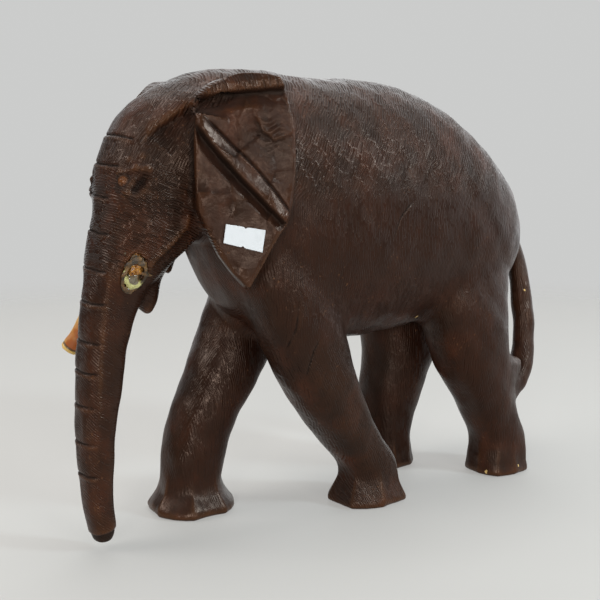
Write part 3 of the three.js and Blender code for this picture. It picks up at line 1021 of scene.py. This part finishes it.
def bowTusk(points, normals):
    axis, aside = np.array(tusk["axis"]), np.array(tusk["aside"])
    local = points - np.array(tusk["root"])
    along = local @ axis
    share = np.clip(along / tusk["length"], 0, 1)
    slant = (local @ aside - along * (axis @ aside)) * tusk["endSlant"]
    points = points + 4 * tusk["bow"] * (share * (1 - share))[:, None] * aside
    points += (slant * smoothStep(along, tusk["slantFrom"], tusk["slantTo"]))[:, None] * axis
    ring = bumpAt(along - (tusk["length"] - tusk["ringBack"]), 0.5)
    uneven = lumps(points, seed=5, short=5, long=16) * tusk["unevenness"]
    return points + (uneven - 0.3 * ring)[:, None] * normals


def paleTusk(place):
    local = place - tusk["root"]
    along = local.dot(tusk["axis"])
    across = local.dot(tusk["aside"]) + along * 0.38
    lean = across * -tusk["endSlant"] + along
    fibre = place.node("ShaderNodeCombineXYZ", {}, {0: across * 0.6, 1: along * 0.05, 2: 0.0})
    grain = fibre.noise(1, 3.0, 0.6)
    stain = (across * 0.09 + along * 0.035 + place.noise(9, 2.0) * 1.4).step(1.75, 2.35)
    colour = stain.blend(tusk["tan"], tusk["orange"])
    colour = (grain.step(0.5, 0.7) * 0.6).blend(colour, tusk["orange"])
    ringPlace = tusk["length"] - tusk["ringBack"]
    end = lean.step(ringPlace - 0.1, ringPlace + 0.2)
    colour = end.blend(colour, tusk["rim"])
    line = 1 - abs(lean - ringPlace).step(0.25, 0.8)
    colour = (line * 0.85).blend(colour, tusk["line"])
    height = grain * 0.15 - line * 0.2
    return {"Base Color": colour, "Roughness": grain * 0.3 + 0.25, "Height": height}


tuskMesh = refined("right_tusk", tusk["cell"], tusk["blur"], change=bowTusk)
tuskMaterial = makeMaterial("stainedTusk", {"Specular IOR Level": 0.5}, paleTusk)
addPiece("rightTusk", tuskMesh, tuskMaterial, ["right_tusk"])
print("right tusk made")


# broken left tusk: a jagged stub in its hole

stub = {
    "cell": 0.4,
    "blur": 0.4,
    "middle": (19.4, -139.4, 147.5),
    "axis": (0.326, -0.234, -0.916),
    "brokenFrom": -6,  # along the axis from the middle
    "brokenTo": -1,
    "jags": 0.55,
    "splinters": 0.6,
    "honey": (0.42, 0.19, 0.035),
    "deep": (0.10, 0.03, 0.008),
}


def breakStub(points, normals):
    along = (points - np.array(stub["middle"])) @ np.array(stub["axis"])
    end = smoothStep(along, stub["brokenFrom"], stub["brokenTo"])
    jagged = lumps(points, seed=3, short=2, long=6) * stub["jags"]
    jagged += np.abs(lumps(points, seed=8, short=3, long=7)) * stub["splinters"]
    return points + (jagged * end)[:, None] * normals


def brokenTusk(place):
    grain = place.noise(1.6, 3.0, 0.65)
    colour = grain.step(0.35, 0.65).blend(stub["deep"], stub["honey"])
    return {"Base Color": colour, "Roughness": grain * 0.2 + 0.15, "Height": grain * 0.5}


stubMesh = refined("left_tusk_stub", stub["cell"], stub["blur"], change=breakStub)
stubMaterial = makeMaterial("brokenTusk", {}, brokenTusk)
addPiece("leftTuskStub", stubMesh, stubMaterial, ["left_tusk_stub"])
print("left tusk stub made")


# old glue round the two sockets

glue = {
    "cell": 0.4,
    "blur": 0.4,
    "pale": (0.40, 0.38, 0.15),
    "amber": (0.14, 0.07, 0.02),
    "clear": (0.030, 0.020, 0.011),
    "drop": (0.13, 0.105, 0.07),
    "lumpRise": 0.22,
    "bulgeRise": 0.2,
    "relief": 0.3,
    "dryRoughness": 0.5,
    "wetGloss": 0.38,
    "wetCoat": 0.6,
    "paleReach": 1.5,
    "dropReach": 3.2,
    # runs and beads, as x, y, z and radius
    "left": {
        "fill": (
            (13.4, -138.8, 138.6, 1.6), (14.4, -138.3, 141, 3.4), (15.4, -138.3, 147.4, 4.4),
            (17.0, -138.6, 154, 4.0), (18.6, -139.3, 158, 2),
        ),
        "pale": (
            (18.9, -145.0, 149.8, 0.6), (18.2, -143.9, 146.2, 0.9), (17.6, -142.6, 143.0, 1.0),
            (17.1, -140.2, 141.0, 1.1), (17.1, -136.6, 141.7, 0.9), (17.9, -134.6, 143.4, 0.5),
        ),
        "drop": (
            (18.2, -140.2, 148.0, 1.3), (17.6, -140.4, 146.2, 2.7), (17.0, -139.8, 144.3, 2.7),
            (16.6, -139.6, 142.6, 1.5),
        ),
        "bead": ((18.8, -144.6, 152.4, 0.6), (19.2, -144.0, 151.6, 1.2), (19.7, -143.2, 151.2, 0.7)),
        "smear": (
            (20.2, -137.0, 148.5, 0.8), (20.6, -134.4, 147.6, 1.1), (20.2, -131.6, 146.6, 0.8),
            (20.0, -129.2, 146.2, 0.4),
        ),
        "drip": ((19.6, -144.4, 156.4, 0.4), (19.5, -144.5, 157.8, 0.8), (19.9, -144.2, 158.8, 0.4)),
    },
    "right": {
        "pale": ((-20.6, -142.6, 146.2, 0.8), (-20.2, -141.0, 144.4, 1.1), (-20.4, -138.3, 143.6, 0.7)),
    },
}


def lumpyGlue(points, normals):
    lumpy = lumps(points, seed=21, short=2.5, long=7) * glue["lumpRise"]
    bulges = np.abs(lumps(points, seed=4, short=4, long=9)) * glue["bulgeRise"]
    return points + (lumpy + bulges)[:, None] * normals


def oldGlue(place):
    patches = place.noise(3.4, 2.0, 0.6)
    colour = patches.step(0.35, 0.7).blend(glue["clear"], glue["amber"])
    colour = place.mark("drop").blend(colour, glue["drop"])
    colour = place.mark("pale").blend(colour, glue["pale"])
    wet = place.mark("drop").most(place.mark("pale"))
    relief = place.noise(1.4, 2.0) * glue["relief"]
    roughness = glue["dryRoughness"] - wet * glue["wetGloss"]
    coat = wet * glue["wetCoat"]
    return {"Base Color": colour, "Roughness": roughness, "Coat Weight": coat, "Height": relief}


glueFinish = {"Coat Roughness": 0.08, "Specular IOR Level": 0.4}
glueMaterial = makeMaterial("oldGlue", glueFinish, oldGlue)
for side in ("left", "right"):
    runs = glue[side]
    glueMesh = refined(side + "_socket_glue", glue["cell"], glue["blur"], runs.values(), lumpyGlue)
    for part, reach in (("pale", glue["paleReach"]), ("drop", glue["dropReach"])):
        values = np.zeros(len(glueMesh.vertices))
        if part in runs:
            away, _ = alongPath(readPoints(glueMesh), [station[:3] for station in runs[part]])
            values = 1 - smoothStep(away, reach * 0.85, reach * 1.1)
        writeMark(glueMesh, part, values)
    addPiece(side + "SocketGlue", glueMesh, glueMaterial, [side + "_socket_glue"])
print("glue made")


# blank price label on the left ear

label = {
    "corners": ((15.4, 73.4), (36.2, 77.0), (34.2, 88.4), (13.8, 82.9)),  # across and down the ear
    "height": 0.42,  # above the ear's face
    "thickness": 0.16,
    "curl": 0.5,
    "flatShare": 0.6,  # the ends beyond this share of its width curl up
    "nick": 0.9,
    "nickWidth": 0.035,  # share of the label's width
    "tall": 12,  # about how high it is, for the depth of its nicks
    "paper": (0.62, 0.635, 0.65),
    "grey": (0.52, 0.54, 0.555),
}


# a point of the left ear's face, out from it by out
def earPoint(across, down, out):
    back, up, outwards = earAxes()
    return Vector(ear["corner"]) + back * across - up * down + outwards * out


# a spot of the label at shares u along and v down, on its lower (0) or upper (1) layer
def labelPoint(u, v, layer):
    corners = [Vector(corner) for corner in label["corners"]]
    nick = label["nick"] / label["tall"] * math.exp(-(((u - 0.5) / label["nickWidth"]) ** 2))
    v = nick + v * (1 - 2 * nick)
    spot = corners[0].lerp(corners[1], u).lerp(corners[3].lerp(corners[2], u), v)
    curled = max(0, abs(u - 0.5) * 2 - label["flatShare"]) ** 2 * 3
    waves = 0.3 * math.sin(u * 5 + v * 3) ** 2
    lift = label["curl"] * (curled + waves)
    return earPoint(spot.x, spot.y, label["height"] + lift + layer * label["thickness"]) * mm


def labelMesh():
    wide, high = 48, 26  # little squares each way
    verts, faces = [], []
    for layer in (0, 1):
        for row in range(high + 1):
            for column in range(wide + 1):
                verts.append(labelPoint(column / wide, row / high, layer))
    across = wide + 1
    layerSize = across * (high + 1)
    for row in range(high):
        for column in range(wide):
            first = row * across + column
            quad = (first, first + 1, first + across + 1, first + across)
            faces.append(quad)
            faces.append(tuple(layerSize + i for i in reversed(quad)))
    border = [row * across for row in range(high + 1)]
    border += [high * across + column for column in range(1, across)]
    border += [row * across + wide for row in range(high - 1, -1, -1)]
    border += list(range(wide - 1, 0, -1))
    for here, after in zip(border, border[1:] + border[:1]):
        faces.append((here, after, layerSize + after, layerSize + here))
    mesh = bpy.data.meshes.new("labelSheet")
    mesh.from_pydata(verts, [], faces)
    return mesh


def labelPaper(place):
    fibres = place.noise(0.8, 3.0, 0.7)
    soiled = place.noise(5, 2.0).step(0.45, 0.75) * 0.35
    colour = soiled.blend(label["paper"], label["grey"])
    return {"Base Color": colour, "Roughness": fibres * 0.2 + 0.45, "Height": fibres * 0.04}


labelMaterial = makeMaterial("labelPaper", {}, labelPaper)
addPiece("priceLabel", labelMesh(), labelMaterial, ["price_label"])
print("label made")


# Floor, light and camera, in metres.

white = (1, 0.99, 0.97)
stage = {
    "radius": 1.15,
    "solidTo": 0.72,  # where the floor begins to fade into the backdrop
    "fadedAt": 0.98,  # share of the radius where it has gone
    "floor": (0.24, 0.236, 0.226),
    "floorShade": 0.97,  # how dark the paper's faint patches are
    "floorGlow": 0.315,  # keeps the shadows pale, as light from all round does
    "glowColour": (1, 0.985, 0.95, 1),
    "backdrop": (0.60, 0.605, 0.60),
    "roomLight": (0.03, 0.032, 0.035),
    "wallLight": (1.9, 1.96, 2.0),
    "wallSide": (-0.56, 0.80, 0.2),
    "wallEdge": (0.35, 0.95),  # the wall's light fades between these
    # place, what it points at, size, power and colour of each light
    "lights": {
        "overheadSoftbox": ((-0.1, 0.0, 1.5), (0, 0, 0.1), 0.8, 12.5, (1, 0.985, 0.96)),
        "highWindow": ((1.02, 0.70, 0.76), (0, 0, 0.18), 0.2, 11, (0.78, 0.93, 1)),
        "rearSoftbox": ((0.7, 1.2, 0.25), (0, 0.05, 0.15), 0.4, 0.8, (0.96, 0.98, 1)),
        "sideWindow": ((1.25, -0.12, 0.34), (0, -0.05, 0.15), 0.35, 5, white),
        "lowFill": ((0.85, -0.98, 0.34), (0, -0.1, 0.15), 0.18, 6.6, white),
        "frontFill": ((-0.5, -1.1, 0.9), (0, 0, 0.1), 0.6, 9, white),
    },
    "cameraPlace": (0.46499, -0.37457, 0.209),
    "cameraLook": (-0.78667, 0.59928, -0.14834),
    "lens": 60,
    "sensor": 36,
}


def floorMesh():
    rings, around = 24, 96
    verts, faces = [(0, 0, 0)], []
    for ring in range(1, rings + 1):
        radius = stage["radius"] * ring / rings
        for step in range(around):
            angle = 2 * math.pi * step / around
            verts.append((radius * math.cos(angle), radius * math.sin(angle), 0))
    for step in range(around):
        after = (step + 1) % around
        faces.append((0, 1 + step, 1 + after))
        for ring in range(rings - 1):
            base = 1 + ring * around
            faces.append((base + step, base + around + step, base + around + after, base + after))
    mesh = bpy.data.meshes.new("paperFloor")
    mesh.from_pydata(verts, [], faces)
    return mesh


def floorPaper(place):
    away = (place * (1, 1, 0)).length() * mm
    shaded = tuple(stage["floorShade"] * c for c in stage["floor"])
    colour = place.noise(60, 2.0).blend(stage["floor"], shaded)
    faded = away.step(stage["solidTo"], stage["radius"] * stage["fadedAt"])
    return {"Base Color": colour, "Alpha": 1 - faded}


def makeFloor():
    mesh = floorMesh()
    floor = bpy.data.objects.new("paperFloor", mesh)
    scene.collection.objects.link(floor)
    finish = {"Roughness": 0.8, "Specular IOR Level": 0.2}
    finish["Emission Color"] = stage["glowColour"]
    finish["Emission Strength"] = stage["floorGlow"]
    mesh.materials.append(makeMaterial("palePaper", finish, floorPaper))


# the backdrop is pale to look at, and the room behind it is dim
def makeWorld():
    world = bpy.data.worlds.new("studio")
    world.use_nodes = True
    tree = world.node_tree
    tree.nodes.clear()
    start = Wire(tree)

    def glow(colour):
        return start.node("ShaderNodeBackground", {}, {"Color": colour, "Strength": 1.0})

    seen = start.node("ShaderNodeLightPath", {}, {}, "Is Camera Ray")
    way = start.node("ShaderNodeTexCoord", {}, {}, "Generated")
    toWall = way.dot(stage["wallSide"]).step(*stage["wallEdge"])
    room = glow(toWall.blend(stage["roomLight"], stage["wallLight"]))
    back = glow((*stage["backdrop"], 1))
    mixed = start.node("ShaderNodeMixShader", {}, {0: seen, 1: room, 2: back})
    start.node("ShaderNodeOutputWorld", {}, {"Surface": mixed}, None)
    scene.world = world


def addLight(name, place, target, size, power, colour):
    light = bpy.data.lights.new(name, "AREA")
    light.shape = "SQUARE"
    light.size = size
    light.energy = power
    light.color = colour
    lamp = bpy.data.objects.new(name, light)
    scene.collection.objects.link(lamp)
    lamp.location = place
    lamp.rotation_euler = (Vector(target) - Vector(place)).to_track_quat("-Z", "Y").to_euler()


def makeCamera():
    camera = bpy.data.cameras.new("camera")
    camera.sensor_width = stage["sensor"]
    camera.lens = stage["lens"]
    camera.clip_start = 0.01
    holder = bpy.data.objects.new("camera", camera)
    scene.collection.objects.link(holder)
    holder.location = stage["cameraPlace"]
    holder.rotation_euler = Vector(stage["cameraLook"]).to_track_quat("-Z", "Y").to_euler()
    scene.camera = holder


makeFloor()
makeWorld()
for name, settings in stage["lights"].items():
    addLight(name, *settings)
scene.view_settings.view_transform = "Standard"
makeCamera()
print("floor, light and camera made")
